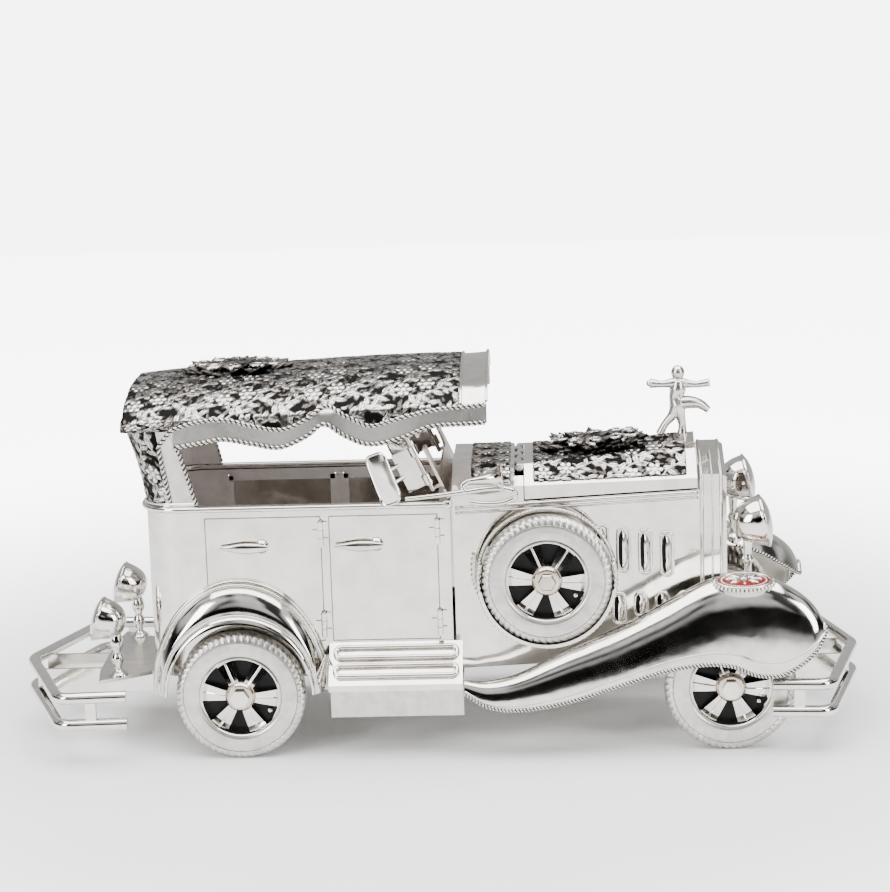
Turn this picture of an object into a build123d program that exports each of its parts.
"""Vintage open touring car, an assembled sheet-silver showpiece box.

Millimetres. +X is the front of the car, +Z is up and the origin is on the table, under the middle of the
car. "right" is the car's right-hand side, at -Y. Each piece is one STEP file in parts/.
"""
from build123d import *
from math import atan2, cos, sin, pi, radians, sqrt
import os

# ---- driving dimensions ---------------------------------------------------------------------------
SHEET = 1.2            # gauge of the sheet silver
WHEEL_R = 25.0         # road and spare wheels, 50 mm across
TYRE_W = 8.0
RIM_R = 15.8           # inside of the tyre
WHEEL_Y = 42.6         # mid-plane of the road wheels
REAR_X, FRONT_X = -74.8, 111.8
AXLE_R = 2.0
RUN_CLEAR = 0.05       # radial clearance of every turning fit
GAP = 0.4              # gap between a moving panel and its frame

TUB_HALF = 38.3        # half width of the tub, outside
TUB_REAR, TUB_FRONT = -110.0, 7.0
TUB_CORNER = 15.0
TUB_Z0, TUB_Z1 = 31.0, 95.6
FLOOR_Z = 29.0         # underside of the floor plate
RIM_Z = 96.9           # middle of the half-round belt rim
DOOR_Z0, DOOR_Z1 = 44.6, 93.0
REAR_DOOR = (-85.9, -42.4)
FRONT_DOOR = (-38.7, 1.9)
HINGE_R, PIN_R = 1.1, 0.5
HINGE_OUT = TUB_HALF + HINGE_R + 0.3    # distance of the door hinge axes from the middle plane

BONNET_X0, BONNET_X1 = 8.0, 102.4
BONNET_HALF0, BONNET_HALF1 = 34.2, 22.0
BONNET_Z1 = (95.2, 96.6)                # top edge of the bonnet sides, rear and front
LID_X0, LID_X1 = 35.4, 101.4
LID_AXIS_X, LID_AXIS_Z, LID_BARREL_R, LID_PIN_R = 33.5, 106.2, 1.5, 0.7
LID_HALF_HINGE = 19.5
RADIATOR_X1 = 112.6
SPARE_X, SPARE_Y, SPARE_Z = 43.1, 41.2, 67.7
BAR_R = 2.3                             # bumper bars
HALF_LENGTH = 165.4                     # from the origin to the tip of either bumper
TIP_BEND = 8.0

ROOF_HALF = 39.6
ROOF_X0, ROOF_X1 = -115.5, 22.0
PANEL_TOP = 127.6                       # top of the canopy's rear panel
PANEL_FOOT = RIM_Z + 1.3                # the panel stands on the belt rim
PANEL_CORNER = 12.0

RAKE = 24.7                             # degrees the windscreen leans back
SCREEN_FOOT = (6.3, 98.6)               # x, z of its lower edge
POST_Y, POST_OUT = 35.2, -3.6           # mirror posts: distance from the middle, and behind the plate
FAR = 200.0                             # larger than the car; used for cutting blocks


# ---- small helpers --------------------------------------------------------------------------------
def block(x0, x1, y0, y1, z0, z1):
    return Pos((x0 + x1) / 2, (y0 + y1) / 2, (z0 + z1) / 2) * Box(abs(x1 - x0), abs(y1 - y0), abs(z1 - z0))


def rod(start, end, radius):
    """A round bar from one point to another."""
    axis = Vector(*end) - Vector(*start)
    plane = Plane(origin=start, z_dir=axis)
    return extrude(plane * Circle(radius), axis.length)


def wheel_disc(x, y, z, radius, width):
    """A disc that stands on edge, its axis along Y, with its mid-plane at y."""
    return Pos(x, y, z) * Rot(90, 0, 0) * Cylinder(radius, width)


def turned(profile, x, y, z, rotation=Rot(0, 0, 0)):
    """A turned piece: (radius, height) points spun about +Z, then placed."""
    outline = make_face(Polyline(*[(r, 0, h) for r, h in profile], close=True))
    return Pos(x, y, z) * rotation * revolve(outline, Axis.Z)


def skin(sections):
    """A solid through flat closed outlines that all have the same number of points."""
    return loft([make_face(Polyline(*points, close=True)) for points in sections], ruled=True)


def bent_bar(points, radii, radius):
    """A round bar along straight runs joined by arcs."""
    path = FilletPolyline(*points, radius=radii)
    plane = Plane(origin=path @ 0, z_dir=path % 0)
    return sweep(plane * Circle(radius), path=path)


def largest(shape):
    """The biggest solid of a cut piece, without the crumbs that a cut leaves."""
    return max(shape.solids(), key=lambda solid: solid.volume)


def other_side(shape):
    return mirror(shape, Plane.XZ)


def blend(table, x):
    """Straight-line interpolation in a list of (x, value, ...) rows."""
    for (xa, *a), (xb, *b) in zip(table, table[1:]):
        if x <= xb:
            break
    t = (x - xa) / (xb - xa)
    return [p + (q - p) * t for p, q in zip(a, b)]


def joined(shapes):
    """One solid from touching shapes."""
    first, *others = shapes
    for other in others:
        first += other
    return first


# ---- chassis and axles ----------------------------------------------------------------------------
IRON_X, IRON_Y = 117.0, 10.0      # front bumper irons start here, this far from the middle
SKIRT_Y, SKIRT_Z0, SKIRT_X0, SKIRT_X1 = 44.0, 15.4, -40.4, 10.4


def chassis():
    """A floor plate with two deep side skirts and four axle hangers."""
    plate = block(-108, 102, -20, 20, FLOOR_Z, TUB_Z0)
    tub_plate = block(-100, 6.5, -34, 34, FLOOR_Z, TUB_Z0)
    wings = block(SKIRT_X0, SKIRT_X1, -SKIRT_Y, SKIRT_Y, FLOOR_Z - 1.2, FLOOR_Z)
    body = plate + tub_plate + wings
    for side in (-1, 1):
        y = side * SKIRT_Y
        body += block(SKIRT_X0, SKIRT_X1, y - side * SHEET, y, SKIRT_Z0, FLOOR_Z)
        for x in (REAR_X, FRONT_X):
            body += block(x - 5, x + 5, side * 15, side * 18, 19, TUB_Z0)
    body += block(FRONT_X - 12, IRON_X, -18, 18, FLOOR_Z, TUB_Z0)
    for side in (-1, 1):
        body += block(IRON_X - 2.4, IRON_X, side * IRON_Y - 1, side * IRON_Y + 1, 17, TUB_Z0)
    for x in (REAR_X, FRONT_X):
        body -= wheel_disc(x, 0, WHEEL_R, AXLE_R + RUN_CLEAR, 60)
    return body


def axle(x):
    """A straight rod with a head at each end that keeps the wheels on."""
    half = WHEEL_Y + TYRE_W / 2 + 3.2
    bar = wheel_disc(x, 0, WHEEL_R, AXLE_R, 2 * half)
    for side in (-1, 1):
        nut = extrude(RegularPolygon(3.6, 6), 1.6)
        bar += Pos(x, side * (half - 0.8) + 0.8, WHEEL_R) * Rot(90, 0, 0) * nut
    return bar


def tyre(x, y, z):
    """A ring with rounded shoulders."""
    ring = wheel_disc(x, y, z, WHEEL_R, TYRE_W)
    ring = chamfer(ring.edges(), 1.8) - wheel_disc(x, y, z, RIM_R, TYRE_W + 1)
    return ring


def spoked_hub(x, y, z, side, bore):
    """A rim, a backing plate, six flat tapered spokes and a coned boss."""
    face = y + side * (TYRE_W / 2 - 0.6)
    rim = wheel_disc(x, y, z, RIM_R, TYRE_W - 2) - wheel_disc(x, y, z, RIM_R - 1.0, TYRE_W)
    hub = rim + wheel_disc(x, y - side * 2, z, RIM_R, 1.2)
    for i in range(6):
        a = radians(30 + 60 * i)
        middle = Pos(x + 10 * cos(a), face - side * 1.2, z + 10 * sin(a)) * Rot(0, -60 * i - 30, 0)
        hub += middle * Box(11.1, 1.2, 4.2)
    hub += wheel_disc(x, y, z, 6.0, TYRE_W)
    hub += Pos(x, face + side * 1.3, z) * Rot(side * -90, 0, 0) * Cone(5.4, 4.2, 1.6)
    return hub - wheel_disc(x, y, z, bore, 40)


# ---- tub, rim and doors ---------------------------------------------------------------------------
def arch(grow):
    """Side outline of the rear wheel arch as a bar through the car, grown by the given amount."""
    oval = Plane.XZ * Pos(REAR_X, WHEEL_R) * Ellipse(33.0 + grow, 42.0 + grow)
    return extrude(oval, 60, both=True)


def u_plan(front, rear, half, corner):
    """Plan of the tub: square at the front, rounded at the rear corners."""
    plan = Pos((front + rear) / 2, 0) * Rectangle(front - rear, 2 * half)
    return fillet(plan.vertices().group_by(Axis.X)[0], corner)


def door_hole(span, grow):
    hole = block(span[0] - grow, span[1] + grow, -60, 60, DOOR_Z0 - grow, DOOR_Z1 + grow)
    return hole - arch(1.5 - grow)


def tub():
    outer = extrude(Pos(0, 0, TUB_Z0) * u_plan(TUB_FRONT, TUB_REAR, TUB_HALF, TUB_CORNER), TUB_Z1 - TUB_Z0)
    inner_plan = u_plan(TUB_FRONT - SHEET, TUB_REAR + SHEET, TUB_HALF - SHEET, TUB_CORNER - SHEET)
    inner = extrude(Pos(0, 0, TUB_Z0 + SHEET) * inner_plan, TUB_Z1)
    return outer - inner - door_hole(REAR_DOOR, GAP) - door_hole(FRONT_DOOR, GAP)


def belt_rim():
    """Half-round strap round the top of the tub, with the ends standing on the cowl sides."""
    outer = extrude(Pos(0, 0, TUB_Z1) * u_plan(TUB_FRONT, TUB_REAR - 2, TUB_HALF + 2, TUB_CORNER + 2), 2.6)
    outer = chamfer(outer.edges().filter_by(Plane.XY), 0.9)
    inner = u_plan(TUB_FRONT + 9, TUB_REAR + SHEET, TUB_HALF - SHEET, TUB_CORNER - SHEET)
    return outer - extrude(Pos(0, 0, TUB_Z1 - 1) * inner, 6)


def knuckles(x, side, spans, leaf):
    """Barrels of a door hinge with a leaf towards +X (leaf > 0) or -X (leaf < 0)."""
    y = side * HINGE_OUT
    group = []
    for z0, z1 in spans:
        middle = Pos(x, y, (z0 + z1) / 2)
        plate = block(x, x + leaf, side * TUB_HALF, side * (TUB_HALF + LEAF), z0, z1)
        group.append(middle * Cylinder(HINGE_R, z1 - z0) + plate - middle * Cylinder(PIN_R + RUN_CLEAR, FAR))
    return joined(group)


HINGE_Z = (51.0, 86.6)          # middles of the two hinges of a door
KNUCKLE = 2.9                   # length of one barrel
LEAF = 0.7                      # gauge of the hinge leaves
DOOR_SPANS = {"rear": REAR_DOOR, "front": FRONT_DOOR}


def hinge_x(span):
    return span[1] + 0.3


def hinge_spans(which):
    """Heights of the outer (fixed) or middle (door) barrels of both hinges."""
    spans = []
    for z in HINGE_Z:
        if which == "middle":
            spans.append((z - KNUCKLE / 2, z + KNUCKLE / 2))
        else:
            for s in (-1, 1):
                low = z + s * (KNUCKLE + 0.3) - KNUCKLE / 2
                spans.append((low, low + KNUCKLE))
    return spans


def door(span, side):
    """A flat panel with the middle barrel of each hinge."""
    panel = door_hole(span, 0) & block(-FAR, FAR, side * TUB_HALF, side * (TUB_HALF - 1.0), 0, FAR)
    return panel + knuckles(hinge_x(span), side, hinge_spans("middle"), -3.2)


HANDLE_Z = 82.0
BOSS_X = {"rear": -64.9, "front": -21.1}
LEVER, LEVER_IN, LEVER_OUT = 16.0, 2.6, 4.0     # length, and how far off the door it lies


def handle(boss_x, side):
    """A tapered lever with a round boss at its front end."""
    boss = wheel_disc(boss_x, side * (TUB_HALF + 0.8), HANDLE_Z, 2.0, 1.6)
    neck = wheel_disc(boss_x, side * (TUB_HALF + 1.9), HANDLE_Z, 1.3, 1.4)
    outline = [(boss_x + 1.6, -1.6), (boss_x + 1.6, 1.6), (boss_x - LEVER, 0.7), (boss_x - LEVER, -0.7)]
    lever = skin([[(x, side * (TUB_HALF + out), HANDLE_Z + z) for x, z in outline] for out in (LEVER_IN, LEVER_OUT)])
    return boss + neck + lever


# ---- canopy ---------------------------------------------------------------------------------------
VALANCE = [  # x, lower edge of the scalloped side band
    (-96, 121.2), (-86, 122.8), (-77, 124.0), (-66, 122.0), (-56, 120.5), (-46, 124.4), (-39, 129.0),
    (-31, 124.2), (-22, 120.9), (-10, 123.1), (0, 127.0), (12, 127.8), (22.0, 127.8)]
RIDGE = [  # x, ridge height, height where the crown turns down into the side
    (ROOF_X0, 141.0, 130.4), (-96, 142.6, 131.4), (-60, 144.4, 132.6), (-20, 146.0, 134.0), (22.0, 146.4, 134.8)]


def roof_outline(x, inset):
    """Cross-section of the canopy at x: a crowned top that runs down into the side bands."""
    ridge, shoulder = blend(RIDGE, x)
    low = blend(VALANCE, x)[0] if x > VALANCE[0][0] else PANEL_TOP
    half = ROOF_HALF - inset
    points = []
    for i in range(-6, 7):
        y = half * i / 6
        points.append((x, y, ridge - inset - (ridge - shoulder) * abs(i / 6) ** 2.6))
    edge = half + 0.8
    return [(x, -edge, low)] + points + [(x, edge, low)]


ROOF_STATIONS = [-97, -96.001] + [x for x, *_ in VALANCE[1:]]


def roof_solid():
    """The canopy filled in, down to its scalloped edge."""
    return skin([roof_outline(x, 0) for x in [ROOF_X0] + ROOF_STATIONS])


def roof_hollow():
    """The space under the canopy sheet, open below and in front."""
    cavity = []
    for x in [ROOF_X0 + SHEET] + ROOF_STATIONS:
        (_, edge, low), *crown, _ = roof_outline(x, SHEET)
        x_cut = x + 1 if x == ROOF_X1 else x
        cavity.append([(x_cut, y, z) for _, y, z in [(x, edge, low - 3)] + crown + [(x, -edge, low - 3)]])
    return skin(cavity)


def rear_plan(z):
    """Plan of the rear panel at height z: (rear x, half width, front x)."""
    t = (z - PANEL_FOOT) / (PANEL_TOP - PANEL_FOOT)
    return -109.2 - 6.2 * t ** 1.6, 37.6 + 2.6 * t, -88.6 - 7.6 * t


def rear_outline(z):
    rear, half, front = rear_plan(z)
    x_turn, y_turn = rear + PANEL_CORNER, half - PANEL_CORNER
    rows = []
    for inset in (0.0, SHEET):
        r = PANEL_CORNER - inset
        row = [(front, -(half - inset), z)]
        for a in (0, 30, 60, 90):
            row.append((x_turn - r * sin(radians(a)), -y_turn - r * cos(radians(a)), z))
        row += [(x, -y, z) for x, y, _ in reversed(row)]
        rows.append(row)
    return rows[0] + rows[1][::-1]


def rear_panel():
    heights = (PANEL_FOOT, 106, 116, PANEL_TOP)
    return skin([rear_outline(z) for z in heights])


def crest(x0, x1, base, height, half):
    """A low openwork scroll plate, drawn as a stepped oval boss."""
    layers = []
    for step, k in enumerate((1.0, 0.8, 0.55)):
        oval = Pos((x0 + x1) / 2, 0, base + step * height / 3) * Ellipse((x1 - x0) / 2 * k, half * k)
        layers.append(extrude(oval, height / 3))
    return joined(layers)


# ---- windscreen and mirrors -----------------------------------------------------------------------
def on_screen(up, across, out=0.0):
    """A point on the raked screen: up the plate, across it, and out towards the front."""
    a = radians(RAKE)
    x = SCREEN_FOOT[0] - up * sin(a) + out * cos(a)
    return (x, across, SCREEN_FOOT[1] + up * cos(a) + out * sin(a))


PLATE_W, PLATE_H = 73.0, 60.0
WINDOW_W, WINDOW_H, WINDOW_UP, WINDOW_R = 57.0, 23.0, 20.0, 5.0
POST_R = 0.9


def screen(hollow):
    """A plate with a window, trimmed to the roof, and a round post behind each edge."""
    plane = Plane(origin=on_screen(0, 0), x_dir=(0, 1, 0), z_dir=(cos(radians(RAKE)), 0, sin(radians(RAKE))))
    plate = Pos(0, PLATE_H / 2, 0) * Rectangle(PLATE_W, PLATE_H)
    window = fillet((Pos(0, WINDOW_UP) * Rectangle(WINDOW_W, WINDOW_H)).vertices(), WINDOW_R)
    below = block(-60, 60, -60, 60, 60, 118)
    body = extrude(plane * (plate - window), 1.0) & (hollow + below)
    for side in (-1, 1):
        y = side * POST_Y
        body += rod(on_screen(5, y, POST_OUT), on_screen(29, y, POST_OUT), POST_R)
        for up in (5.8, 28.2):
            body += rod(on_screen(up, y, POST_OUT), on_screen(up, y, 0.6), 0.7)
    return body


def mirror_arm(side):
    """A plate that turns on the screen post by two clamps and carries the mirror on two arms."""
    y = side * POST_Y
    body = joined([rod(on_screen(up - 2, y, POST_OUT), on_screen(up + 2, y, POST_OUT), 1.9) for up in (10, 22)])
    plane = Plane(origin=on_screen(16, y, -8.0), x_dir=(0, 0, 1), z_dir=(0, side, 0))
    rake = Rot(0, 0, RAKE) if side < 0 else Rot(0, 0, -RAKE)
    body += extrude(plane * rake * Rectangle(15.6, 8.0), 0.5, both=True)
    for up in (14.5, 19.5):
        body += rod(on_screen(up, y, -11), on_screen(up, y + side * 5.0, -18), 0.8)
    glass = Plane(origin=on_screen(18, y + side * 4.6, -17.6), x_dir=(0, 0, 1), z_dir=(-0.5, side, 0))
    body += extrude(glass * rake * fillet(Rectangle(20, 9).vertices(), 3), 0.8)
    return body - rod(on_screen(0, y, POST_OUT), on_screen(34, y, POST_OUT), POST_R + RUN_CLEAR)


# ---- bonnet ---------------------------------------------------------------------------------------
def bonnet_half(x):
    t = (x - BONNET_X0) / (BONNET_X1 - BONNET_X0)
    return BONNET_HALF0 + (BONNET_HALF1 - BONNET_HALF0) * t


def bonnet_top(x):
    t = (x - BONNET_X0) / (BONNET_X1 - BONNET_X0)
    return BONNET_Z1[0] + (BONNET_Z1[1] - BONNET_Z1[0]) * t


def bonnet_block(x0, x1, inset, z0, rise):
    sections = []
    for x in (x0, x1):
        h, top = bonnet_half(x) - inset, bonnet_top(x) + rise
        sections.append([(x, -h, z0), (x, -h, top), (x, h, top), (x, h, z0)])
    return skin(sections)


def bonnet_body():
    return bonnet_block(BONNET_X0, BONNET_X1, 0, TUB_Z0, 0) \
        - bonnet_block(BONNET_X0 + SHEET, BONNET_X1 - SHEET, SHEET, TUB_Z0 + SHEET, 1)


CROWN = [  # x, shoulder height, half width and height of the break line, ridge height
    (8.0, 103.4, 20.5, 107.7, 108.3), (35.4, 101.6, 19.5, 107.7, 107.9), (101.4, 101.2, 10.5, 110.4, 114.9)]


def crown_outline(x, z0, inset):
    shoulder, m, zm, ridge = blend(CROWN, x)
    h, m = bonnet_half(x) - inset, m - inset * 0.3
    right = [(x, -h, z0), (x, -h, shoulder - inset), (x, -m, zm - inset)]
    return right + [(x, 0, ridge - inset)] + [(x, -y, z) for x, y, z in reversed(right)]


def crown_shell(x0, x1, lift, cap0, cap1):
    outer = skin([crown_outline(x, bonnet_top(x) + lift, 0) for x in (x0, x1)])
    inner = skin([crown_outline(x, bonnet_top(x) - 1, SHEET) for x in (x0 + cap0, x1 - cap1)])
    return outer - inner


def lid_knuckle_spans(first):
    pitch = 2 * LID_HALF_HINGE / 7
    return [(-LID_HALF_HINGE + i * pitch + 0.15, -LID_HALF_HINGE + (i + 1) * pitch - 0.15)
            for i in range(first, 7, 2)]


def lid_leaf(spans, x_end):
    top = LID_AXIS_Z + LID_BARREL_R
    side = 1 if x_end > LID_AXIS_X else -1
    start = LID_AXIS_X + side * (LID_BARREL_R + GAP)
    group = [block(start, x_end, -LID_HALF_HINGE, LID_HALF_HINGE, top - SHEET, top)]
    for y0, y1 in spans:
        barrel = wheel_disc(LID_AXIS_X, (y0 + y1) / 2, LID_AXIS_Z, LID_BARREL_R, y1 - y0)
        group.append(barrel + block(LID_AXIS_X, x_end, y0, y1, top - SHEET, top))
    return joined(group) - wheel_disc(LID_AXIS_X, 0, LID_AXIS_Z, LID_PIN_R + RUN_CLEAR, FAR)


def bonnet_lid():
    shell = crown_shell(LID_X0, LID_X1, 0.7, SHEET, SHEET)
    return shell + lid_leaf(lid_knuckle_spans(0), LID_X0 + 4.5)


def cowl():
    """The fixed crown behind the lid, and the hinge leaf let into it."""
    shell = crown_shell(BONNET_X0, LID_AXIS_X - LID_BARREL_R - GAP, 0, SHEET, SHEET)
    leaf = lid_leaf(lid_knuckle_spans(1), LID_AXIS_X - 6.5)
    return shell - leaf, leaf


def radiator():
    """Gabled shell, open in front for the grille."""
    h, z0, zs, zr = 22.4, TUB_Z0, 102.6, 111.4

    def outline(x, inset):
        return [(x, -h + inset, z0 + inset), (x, -h + inset, zs - inset), (x, 0, zr - 1.1 * inset),
                (x, h - inset, zs - inset), (x, h - inset, z0 + inset)]
    shell = skin([outline(BONNET_X1, 0), outline(RADIATOR_X1 - 2.5, 0), outline(RADIATOR_X1, 1.5)])
    return shell - skin([outline(BONNET_X1 + SHEET, 4.0), outline(RADIATOR_X1 + 1, 4.0)])


def grille():
    """A backing plate with upright bars and one middle rail."""
    h = 18.3
    x0 = BONNET_X1 + SHEET
    body = block(x0, x0 + 1, -h, h, 35.2, 98.2)
    for i in range(-4, 5):
        body += block(x0 + 0.5, x0 + 4.5, i * 4 - 0.6, i * 4 + 0.6, 35.2, 98.2)
    return body + block(x0 + 0.5, x0 + 5, -h, h, 66, 68)


def mascot():
    """A stylised dancer on one toe, arms held level fore and aft."""
    x, z = 97.0, 113.6
    body = Pos(x, 0, z + 1.4) * Cylinder(2.6, 4.2)
    limbs = [((x, 0, z + 3), (x - 1, 0, z + 9.5), 1.3), ((x - 1, 0, z + 9.5), (x - 1.5, 0, z + 14.6), 1.7),
             ((x - 1.5, 0, z + 14), (x - 1.5, 0, z + 21), 2.0), ((x - 12, 0, z + 20.5), (x + 11, 0, z + 20.5), 1.2),
             ((x - 1, 0, z + 13.5), (x + 5.5, 0, z + 12), 1.6), ((x + 5.5, 0, z + 12), (x + 10.5, 0, z + 9), 1.2)]
    for start, end, radius in limbs:
        body += rod(start, end, radius)
    body += Pos(x - 1.5, 0, z + 23.4) * Sphere(2.8)
    return body


# ---- fenders and running boards -------------------------------------------------------------------
FENDER = [  # x, inner edge y z, crown y z, outer edge y z
    (11.0, 46.0, 29.4, 49.0, 31.0, 52.6, 26.6), (20.0, 44.4, 29.0, 49.4, 29.4, 54.0, 21.4),
    (32.0, 42.0, 31.0, 49.0, 31.4, 54.4, 20.0), (50.0, 38.0, 38.4, 47.6, 38.8, 54.6, 22.8),
    (68.0, 35.0, 44.6, 46.4, 46.4, 54.6, 28.4), (86.0, 33.0, 53.0, 45.6, 55.0, 54.6, 34.0),
    (101.0, 31.0, 59.6, 45.0, 62.6, 54.6, 36.4), (112.0, 30.0, 61.6, 45.0, 65.4, 54.6, 35.6),
    (121.0, 30.0, 60.6, 45.0, 65.2, 54.6, 32.0), (130.0, 31.0, 57.4, 45.0, 63.4, 54.4, 31.6),
    (138.0, 33.0, 52.6, 44.6, 60.0, 53.4, 35.6), (143.6, 36.0, 48.4, 44.2, 55.6, 51.6, 40.4),
    (147.4, 39.0, 46.0, 44.0, 49.6, 48.4, 45.8)]


def arc_points(a, b, c, count):
    """Points of the smooth curve through three points, evenly spread."""
    out = []
    for i in range(count):
        t = i / (count - 1)
        wa, wb, wc = (1 - t) * (1 - 2 * t), 4 * t * (1 - t), t * (2 * t - 1)
        out.append((wa * a[0] + wb * b[0] + wc * c[0], wa * a[1] + wb * b[1] + wc * c[1]))
    return out


def front_fender():
    sections = []
    for x, yi, zi, yc, zc, yo, zo in FENDER:
        top = arc_points((-yi, zi), (-yc - 2.0, zc - 0.4), (-yo, zo), 8)
        centre_y, centre_z = -(yi + yo) / 2, zo - 4
        under = []
        for y, z in top:
            d = sqrt((y - centre_y) ** 2 + (z - centre_z) ** 2)
            under.append((y + (centre_y - y) / d * SHEET, z + (centre_z - z) / d * SHEET))
        sections.append([(x, y, z) for y, z in top + under[::-1]])
    return skin(sections)


def rear_fender():
    """An arch in steps: a wide outer crown and a narrow lip round the tyre."""
    profile = [(38.3, 33.0, 42.0), (41.5, 32.6, 41.0), (44.5, 31.6, 38.0), (46.4, 30.6, 34.0),
               (47.0, 29.6, 31.0), (48.6, 27.8, 28.2)]

    def half_oval(y, a, b):
        points = []
        for i in range(17):
            t = pi * i / 16
            points.append((REAR_X + a * cos(t), -y, WHEEL_R + 1.0 + b * sin(t)))
        return points
    outer = skin([half_oval(*row) for row in profile])
    inner = skin([half_oval(y, a - SHEET, b - SHEET) for y, a, b in [(38.2, 33, 42)] + profile[1:-1]
                  + [(48.7, 27.8, 28.2)]])
    return outer - inner


BOARD_TOP, BOARD_EDGE = (38.3, 43.4), (52.0, 30.4)
BOARD_X0, BOARD_X1 = -40.4, 10.4


def running_board():
    """A sloping apron with a turned-under lip."""
    (y0, z0), (y1, z1) = BOARD_TOP, BOARD_EDGE
    points = [(y0, z0), (y1, z1), (y1, z1 - 2.4), (SKIRT_Y + 0.1, FLOOR_Z - 0.4), (SKIRT_Y + 0.1, FLOOR_Z + 0.8),
              (y1 - 1.6, z1 - 1.4), (y0, z0 - 1.8)]
    outline = make_face(Polyline(*[(BOARD_X0, -y, z) for y, z in points], close=True))
    return extrude(outline, BOARD_X1 - BOARD_X0, dir=(1, 0, 0))


LOOP_R, LOOP_W, LOOP_X0, LOOP_X1 = 0.9, 4.6, -38.0, 8.0


def step_loop(side, start):
    """A long closed loop of wire lying on the slope of the running board."""
    (y0, z0), (y1, z1) = BOARD_TOP, BOARD_EDGE
    length = sqrt((y1 - y0) ** 2 + (z1 - z0) ** 2)
    uy, uz = (y1 - y0) / length, (z1 - z0) / length
    lift = LOOP_R + 0.02
    origin = ((LOOP_X0 + LOOP_X1) / 2, side * (y0 + uy * start - uz * lift), z0 + uz * start + uy * lift)
    plane = Plane(origin=origin, x_dir=(1, 0, 0), z_dir=(0, side * -uz, uy))
    long = LOOP_X1 - LOOP_X0
    ring = SlotOverall(long, LOOP_W + 2 * LOOP_R) - SlotOverall(long - 4 * LOOP_R, LOOP_W - 2 * LOOP_R)
    return extrude(plane * ring, LOOP_R, both=True)


# ---- spare wheel, lamps, horn, medallions ---------------------------------------------------------
def spare_carrier(solid_bonnet):
    """A back plate with a band round the lower half of the tyre, on a spigot from the bonnet side."""
    y_in = SPARE_Y - TYRE_W / 2
    plate = wheel_disc(SPARE_X, -(y_in - 0.6), SPARE_Z, WHEEL_R + 1.3, SHEET)
    band = wheel_disc(SPARE_X, -(SPARE_Y - 0.6), SPARE_Z, WHEEL_R + 1.3, TYRE_W) \
        - wheel_disc(SPARE_X, -SPARE_Y, SPARE_Z, WHEEL_R + 0.05, TYRE_W + 6)
    band &= block(0, 90, -60, -30, 30, SPARE_Z - 4)
    plate &= block(0, 90, -60, -30, 30, SPARE_Z + 12)
    spigot = wheel_disc(SPARE_X, -(y_in - 6), SPARE_Z, 6, 12)
    return largest(plate + band + spigot - solid_bonnet)


def headlamp():
    """A deep bowl with a stepped rim, on a baluster stem."""
    bowl = [(0, 0), (3.0, 0.6), (6.4, 3.4), (8.6, 7.4), (9.4, 11.4), (9.9, 12.2), (9.4, 13.0), (7.6, 13.9),
            (4.2, 14.8), (0, 15.2)]
    body = turned(bowl, 113.4, -35.6, 85.4, Rot(0, 78, 0))
    stem = [(0, -2), (3.2, -2), (3.2, 1.0), (1.5, 3.2), (1.4, 6.0), (2.2, 8.6), (1.5, 10.6), (1.8, 18.5), (0, 18.5)]
    return body + turned(stem, 119.4, -33.6, 63.4)


def tail_lamp():
    bowl = [(0, 0), (3.0, 0.6), (6.0, 3.0), (7.6, 6.4), (8.2, 10.0), (8.6, 10.7), (8.2, 11.4), (6.6, 12.2),
            (3.8, 12.9), (0, 13.2)]
    body = turned(bowl, -120.8, -26.5, 48.8, Rot(0, -72, 0))
    stem = [(0, 0), (4.0, 0), (3.0, 1.0), (1.5, 2.8), (2.4, 6.6), (1.5, 9.6), (2.6, 12.6), (1.6, 18), (0, 18)]
    return body + turned(stem, -124.6, -26.5, 28.6)


def tail_plate():
    outline = Polyline((-107, -22), (-112, -22), (-131, -34), (-133, -20), (-133, 20), (-131, 34), (-112, 22),
                       (-107, 22), close=True)
    return extrude(Pos(0, 0, 27.2) * make_face(outline), 1.4) - block(-108, 0, -30, 30, FLOOR_Z - 2, 33)


SHOULDER_Y, HOOK_Y = 52.2, 50.6


def bumper(end, shoulder_x, hook_x):
    """Two V-shaped bars with hooked ends and the two irons that carry them."""
    tip_x = end * (HALF_LENGTH - BAR_R)
    half_turn = atan2(abs(tip_x - shoulder_x), SHOULDER_Y)
    tip_x += end * TIP_BEND * (1 / cos(half_turn) - 1)
    bars = []
    for z in (27.4, 16.8):
        points = [(hook_x, -HOOK_Y, z), (shoulder_x, -SHOULDER_Y, z), (tip_x, 0, z), (shoulder_x, SHOULDER_Y, z),
                  (hook_x, HOOK_Y, z)]
        bars.append(bent_bar(points, [6.0, TIP_BEND, 6.0], BAR_R))
    body = joined(bars)
    reach = tip_x - (tip_x - shoulder_x) * IRON_Y / SHOULDER_Y
    for side in (-1, 1):
        x0, x1 = sorted((IRON_X if end > 0 else -108.0, reach))
        body += block(x0, x1, side * IRON_Y - 0.8, side * IRON_Y + 0.8, 17, 26.6)
        body += block(shoulder_x - end * 14, shoulder_x - end * 10, side * 51.4 - 0.8, side * 51.4 + 0.8, 17, 27)
    return body


def horn():
    """A coiled trumpet: a straight tube, one flat loop and a flared bell."""
    y = -42.6
    tube = bent_bar([(-9.5, y, 100.4), (25, y - 0.4, 104.2), (33, y - 0.4, 100.6), (25, y - 0.4, 97.6),
                     (14, y - 0.4, 98.4)], [3.0, 1.9, 2.6], 1.1)
    bell = turned([(0, 0), (1.2, 0), (1.6, 5), (2.6, 9), (5.2, 12.4), (5.2, 13), (0, 11)], 14, y + 0.6, 106.4,
                  Rot(0, 84, 0))
    bridge = rod((16, y, 103.4), (17.5, y + 0.4, 106.4), 0.9)
    foot = rod((12, y, 102.6), (12, -33.0, 99.6), 1.0)
    return tube + bell + bridge + foot


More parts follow.
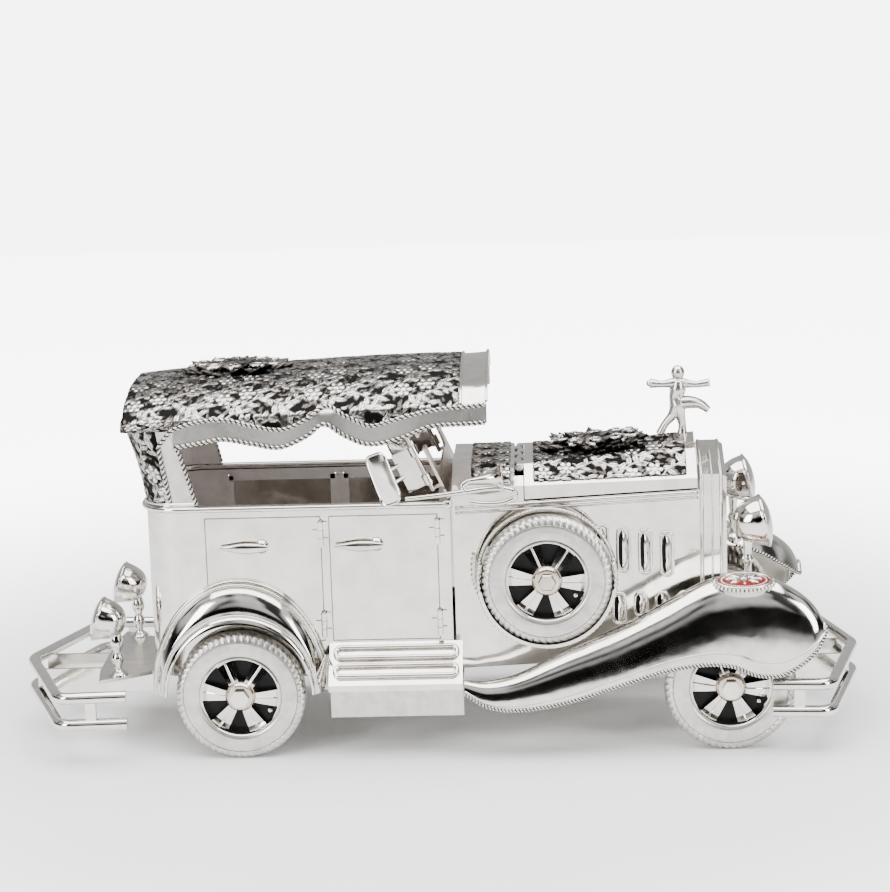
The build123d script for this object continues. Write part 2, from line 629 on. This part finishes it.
MEDALLION = Pos(117.0, -44.4, 64.4) * Rot(12, 0, 0)      # right-hand one, leaning outwards
MEDALLION_HALF = (11.0, 7.0)


def medallion(fender):
    """An oval plaque bedded on the crown of the fender."""
    return largest(extrude(MEDALLION * Ellipse(*MEDALLION_HALF), 2.4) - fender)


# ---- build ----------------------------------------------------------------------------------------
hollow = roof_hollow()
cowl_top, fixed_leaf = cowl()
lid = bonnet_lid()
bonnet_solid = bonnet_block(BONNET_X0, BONNET_X1, 0, TUB_Z0, 0)
cowl_solid = skin([crown_outline(x, 90, 0) for x in (BONNET_X0, LID_X0)])
lid_solid = skin([crown_outline(x, 90, 0) for x in (LID_X0, LID_X1)])

parts = {
    "chassis": chassis(),
    "front_axle": axle(FRONT_X),
    "rear_axle": axle(REAR_X),
    "tub": tub(),
    "belt_rim": belt_rim(),
    "canopy_roof": roof_solid() - hollow,
    "canopy_rear_panel": rear_panel(),
    "windscreen": screen(hollow),
    "bonnet_body": bonnet_body(),
    "cowl_top": cowl_top,
    "lid_hinge_leaf": fixed_leaf,
    "lid_hinge_pin": wheel_disc(LID_AXIS_X, 0, LID_AXIS_Z, LID_PIN_R, 2 * LID_HALF_HINGE + 1.6),
    "radiator_shell": radiator(),
    "radiator_grille": grille(),
    "bonnet_lid": lid,
    "mascot": largest(mascot() - lid),
    "bonnet_crest": crest(44, 86, 108.0, 9.0, 13) - lid_solid,
    "roof_crest": crest(-95, -52, 141.2, 6.0, 13) - roof_solid(),
    "tail_plate": tail_plate(),
    "front_bumper": bumper(1, 149.0, 127.2),
    "rear_bumper": bumper(-1, -143.5, -118.0),
    "horn": largest(horn() - bonnet_solid - cowl_solid),
}

fixed_leaves, pins, loops = [], [], []
for side, word in ((-1, "right"), (1, "left")):
    for which, span in DOOR_SPANS.items():
        parts[f"{which}_door_{word}"] = door(span, side)
        parts[f"{which}_door_handle_{word}"] = handle(BOSS_X[which], side)
        fixed_leaves += knuckles(hinge_x(span), side, hinge_spans("outer"), 2.6).solids()
        for z in HINGE_Z:
            pins.append(Pos(hinge_x(span), side * HINGE_OUT, z) * Cylinder(PIN_R, 3 * KNUCKLE + 1.6))
    for which, x in (("front", FRONT_X), ("rear", REAR_X)):
        parts[f"{which}_tyre_{word}"] = tyre(x, side * WHEEL_Y, WHEEL_R)
        parts[f"{which}_hub_{word}"] = spoked_hub(x, side * WHEEL_Y, WHEEL_R, side, AXLE_R + RUN_CLEAR)
    parts[f"mirror_{word}"] = mirror_arm(side)
    spare = tyre(SPARE_X, side * SPARE_Y, SPARE_Z)
    parts[f"spare_wheel_{word}"] = spare + spoked_hub(SPARE_X, side * SPARE_Y, SPARE_Z, side, 1.0)
    loops += [step_loop(side, start) for start in (5.0, 13.0)]

fender = front_fender()
plaque = medallion(fender)
right_side = {
    "front_fender": fender,
    "rear_fender": rear_fender(),
    "running_board": running_board(),
    "spare_carrier": spare_carrier(bonnet_solid),
    "headlamp": largest(headlamp() - fender - plaque),
    "tail_lamp": tail_lamp(),
}
for name, shape in right_side.items():
    parts[f"{name}_right"] = shape
    parts[f"{name}_left"] = other_side(shape)

parts["door_hinge_leaves"] = Compound(children=fixed_leaves)
parts["door_hinge_pins"] = Compound(children=pins)
parts["step_wires"] = Compound(children=loops)
parts["fender_medallions"] = Compound(children=[plaque, other_side(plaque)])

os.makedirs("parts", exist_ok=True)
for name, shape in parts.items():
    export_step(Compound(children=shape.solids()), f"parts/{name}.step")
print(len(parts), "parts")
